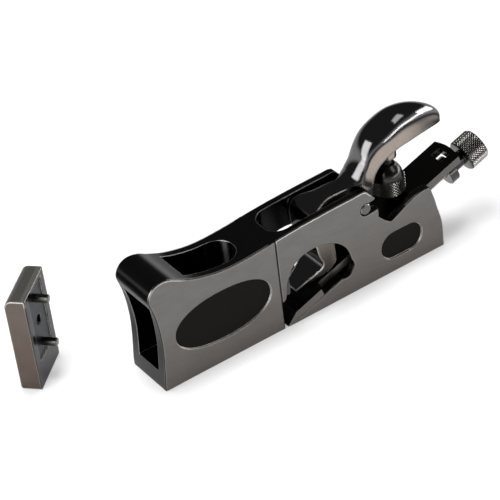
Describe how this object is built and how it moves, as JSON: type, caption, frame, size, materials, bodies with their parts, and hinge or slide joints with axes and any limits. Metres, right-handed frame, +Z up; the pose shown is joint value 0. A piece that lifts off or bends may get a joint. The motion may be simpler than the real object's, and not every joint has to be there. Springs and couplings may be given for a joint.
{
  "type": "shoulder plane",
  "caption": "Woodworker's shoulder plane with a low-angle T-shaped blade, palm-swell lever cap, screw adjuster, hollow long nose and a spare bull nose standing beside it.",
  "frame": {"origin": "on the sole, at the middle of the body's width, halfway between the toe of the long nose and the heel", "axes": "+X from the toe to the heel along the sole, +Y to the far side of the picture, +Z up from the sole"},
  "size_m": [0.2581, 0.069, 0.0831],
  "materials": {
    "ground_iron": "sides and sole fine ground, top and hollows polished dark",
    "dark_chrome": "polished black nickel with a ground side band",
    "black_steel": "blackened, knurled grips",
    "bright_steel": "turned and polished"
  },
  "bodies": {
    "stock": {"main_body": "ground_iron", "adjuster_spindle": "bright_steel", "bullnose_piece": "ground_iron", "bullnose_dowel_upper": "bright_steel", "bullnose_dowel_lower": "bright_steel"},
    "nose": {"long_nose": "ground_iron", "nose_dowel_upper": "bright_steel", "nose_dowel_lower": "bright_steel"},
    "screw": {"nose_screw": "bright_steel"},
    "iron": {"blade": "black_steel"},
    "adjuster": {"adjuster_knob": "black_steel"},
    "cap": {"lever_cap": "dark_chrome", "cap_pin": "bright_steel"},
    "stem": {"thumbscrew_stem": "black_steel"},
    "head": {"thumbscrew_head": "black_steel"}
  },
  "joints": [
    {"name": "nose_slide", "type": "slide", "parent": "stock", "child": "nose", "axis": [-1, 0, 0], "range_m": [0, 0.01]},
    {"name": "nose_screw_turn", "type": "hinge", "parent": "nose", "child": "screw", "pos_m": [-0.0287, 0, 0.0315], "axis": [-1, 0, 0], "range_deg": [0, 3600.1]},
    {"name": "blade_slide", "type": "slide", "parent": "stock", "child": "iron", "axis": [0.9455, 0, 0.3256], "range_m": [-0.0015, 0.006]},
    {"name": "adjuster_turn", "type": "hinge", "parent": "iron", "child": "adjuster", "pos_m": [0.10975, 0, 0.03476], "axis": [0.9455, 0, 0.3256], "range_deg": [-540.1, 2160.1]},
    {"name": "cap_tilt", "type": "hinge", "parent": "stock", "child": "cap", "pos_m": [0.03896, 0, 0.04439], "axis": [0, 1, 0], "range_deg": [0, 9.2]},
    {"name": "thumbscrew_travel", "type": "slide", "parent": "cap", "child": "stem", "axis": [0, 0, 1], "range_m": [0, 0.004]},
    {"name": "thumbscrew_turn", "type": "hinge", "parent": "stem", "child": "head", "pos_m": [0.06305, 0, 0.03433], "axis": [0, 0, 1], "range_deg": [0, 1440.1]}
  ],
  "couplings": [
    {"joint": "nose_screw_turn", "follows": "nose_slide", "rad_per_m": 6283.2},
    {"joint": "adjuster_turn", "follows": "blade_slide", "rad_per_m": 6283.2},
    {"joint": "cap_tilt", "follows": "thumbscrew_travel", "rad_per_m": 40},
    {"joint": "thumbscrew_turn", "follows": "thumbscrew_travel", "rad_per_m": 6283.2}
  ]
}
